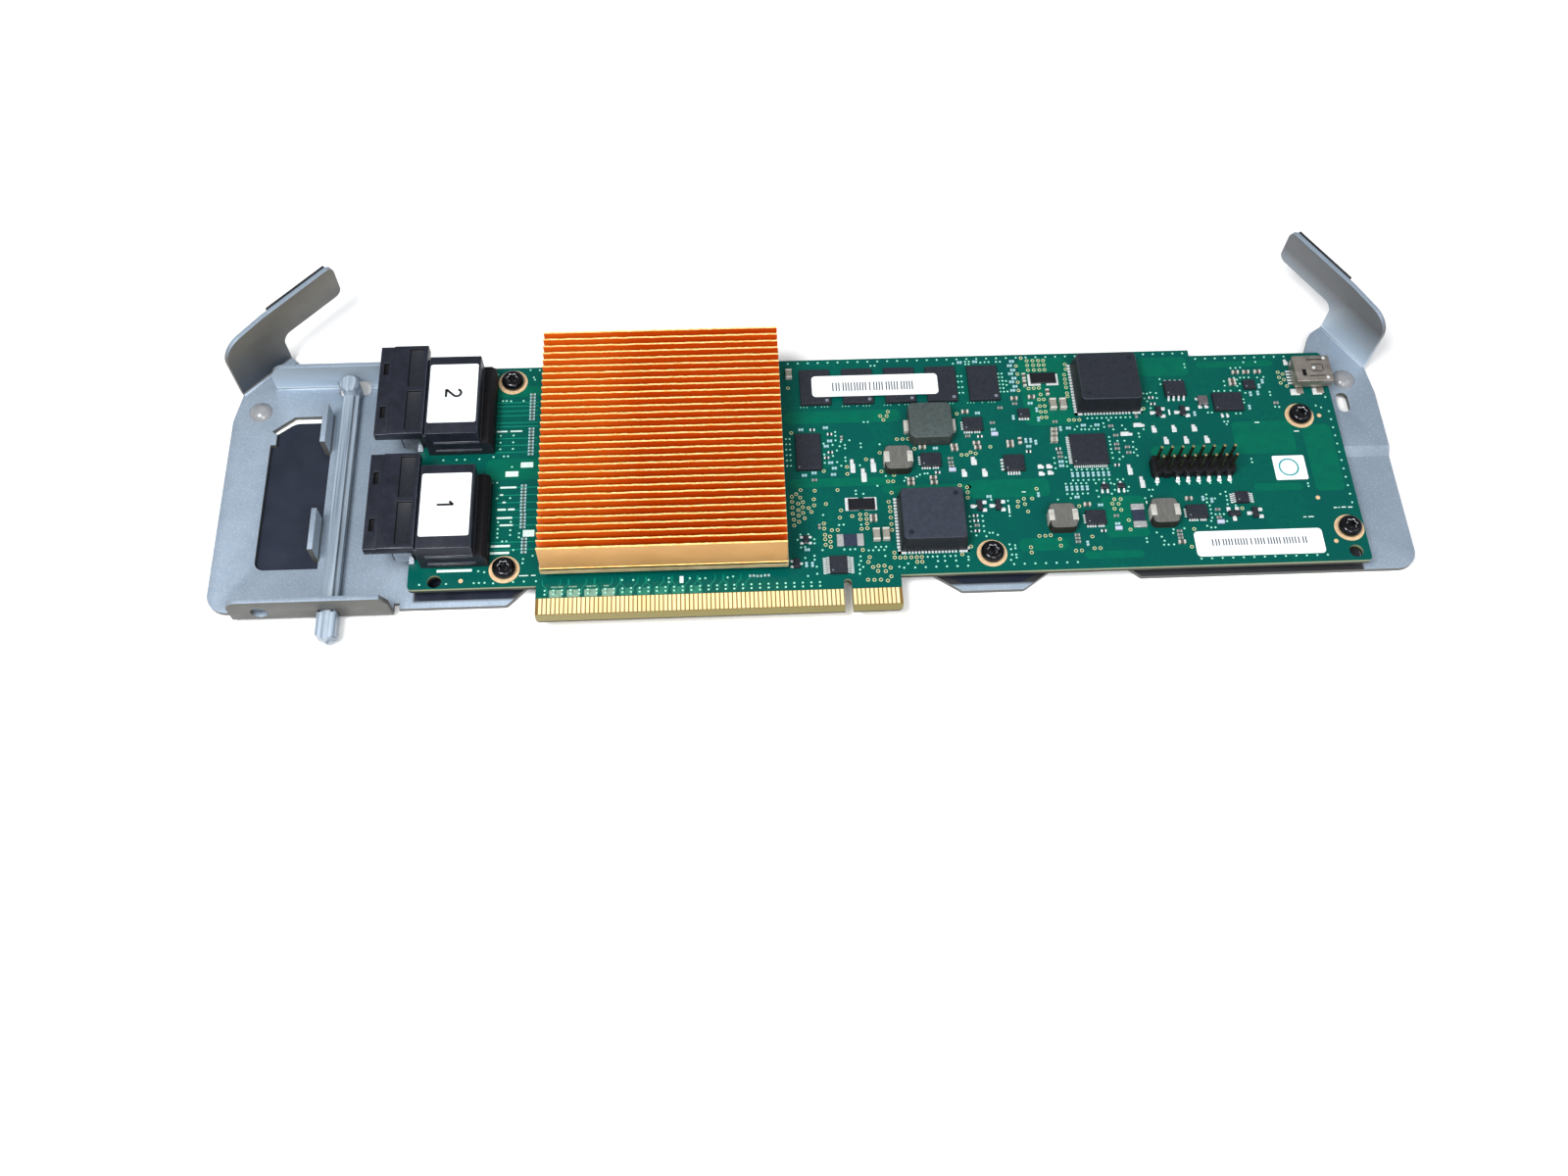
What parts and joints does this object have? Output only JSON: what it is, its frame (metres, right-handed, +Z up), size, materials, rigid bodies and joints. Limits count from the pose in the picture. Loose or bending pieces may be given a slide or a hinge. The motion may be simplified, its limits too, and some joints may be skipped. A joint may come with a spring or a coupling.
{
  "type": "storage controller card",
  "caption": "Long plug-in controller card with a finned copper heat sink, side data ports and an edge connector, on a folded steel carrier with diagonal ears.",
  "frame": {"origin": "on the board's component face, on its front edge, at the centre line of the key notch", "axes": "+X along the card away from the data ports, +Y away from the edge connector, +Z up from the component face"},
  "size_m": [0.2877, 0.099, 0.0217],
  "materials": {
    "carrier_steel": "plain galvanised sheet, satin",
    "clip_steel": "bright drawn sheet",
    "black_film": "matt blue-black film",
    "grip_rubber": "matt black",
    "clear_plastic": "clear moulded plastic",
    "screw_black": "black oxide, satin",
    "board_green": "green solder mask, satin gloss",
    "contact_gold": "bright gold plating",
    "copper": "orange copper, satin",
    "thermal_grey": "soft grey pad",
    "connector_black": "moulded black, satin",
    "label_white": "white paper, matt",
    "chip_black": "moulded dark grey, matt",
    "module_grey": "moulded grey, matt",
    "inductor_grey": "pressed powder, matt",
    "terminal_tin": "tinned",
    "resistor_black": "black coat, satin",
    "capacitor_tan": "tan ceramic, satin"
  },
  "bodies": {
    "root": {"carrier_plate": "carrier_steel", "standoffs": "carrier_steel", "port_1_clips": "clip_steel", "port_2_clips": "clip_steel", "socket_shell": "clip_steel", "window_film": "black_film", "insulator_film": "black_film", "left_grip": "grip_rubber", "right_grip": "grip_rubber", "light_pipe": "clear_plastic", "bumpers": "clear_plastic", "board_screws": "screw_black", "circuit_board": "board_green", "contact_fingers": "contact_gold", "port_1_contacts": "contact_gold", "port_2_contacts": "contact_gold", "header_pins": "contact_gold", "heat_sink": "copper", "thermal_pad": "thermal_grey", "port_1_shroud": "connector_black", "port_1_housing": "connector_black", "port_2_shroud": "connector_black", "port_2_housing": "connector_black", "header_body": "connector_black", "socket_tongue": "connector_black", "port_1_label": "label_white", "port_2_label": "label_white", "memory_label": "label_white", "board_label": "label_white", "square_label": "label_white", "controller_chip": "chip_black", "flash_chip": "chip_black", "logic_chip": "chip_black", "boot_chip": "chip_black", "small_memory_chip": "chip_black", "regulator_chip_1": "chip_black", "regulator_chip_2": "chip_black", "regulator_chip_3": "chip_black", "regulator_chip_4": "chip_black", "regulator_chip_5": "chip_black", "sensor_chip_1": "chip_black", "sensor_chip_2": "chip_black", "buffer_chip_1": "chip_black", "buffer_chip_2": "chip_black", "memory_chip_1": "chip_black", "memory_chip_2": "chip_black", "memory_chip_3": "chip_black", "memory_chip_4": "chip_black", "memory_chip_5": "chip_black", "power_module_1": "module_grey", "power_module_2": "module_grey", "large_inductor": "inductor_grey", "small_inductor_1": "inductor_grey", "small_inductor_2": "inductor_grey", "small_inductor_3": "inductor_grey", "inductor_ends": "terminal_tin", "crystal": "terminal_tin", "resistors": "resistor_black", "capacitors": "capacitor_tan"}
  },
  "joints": []
}
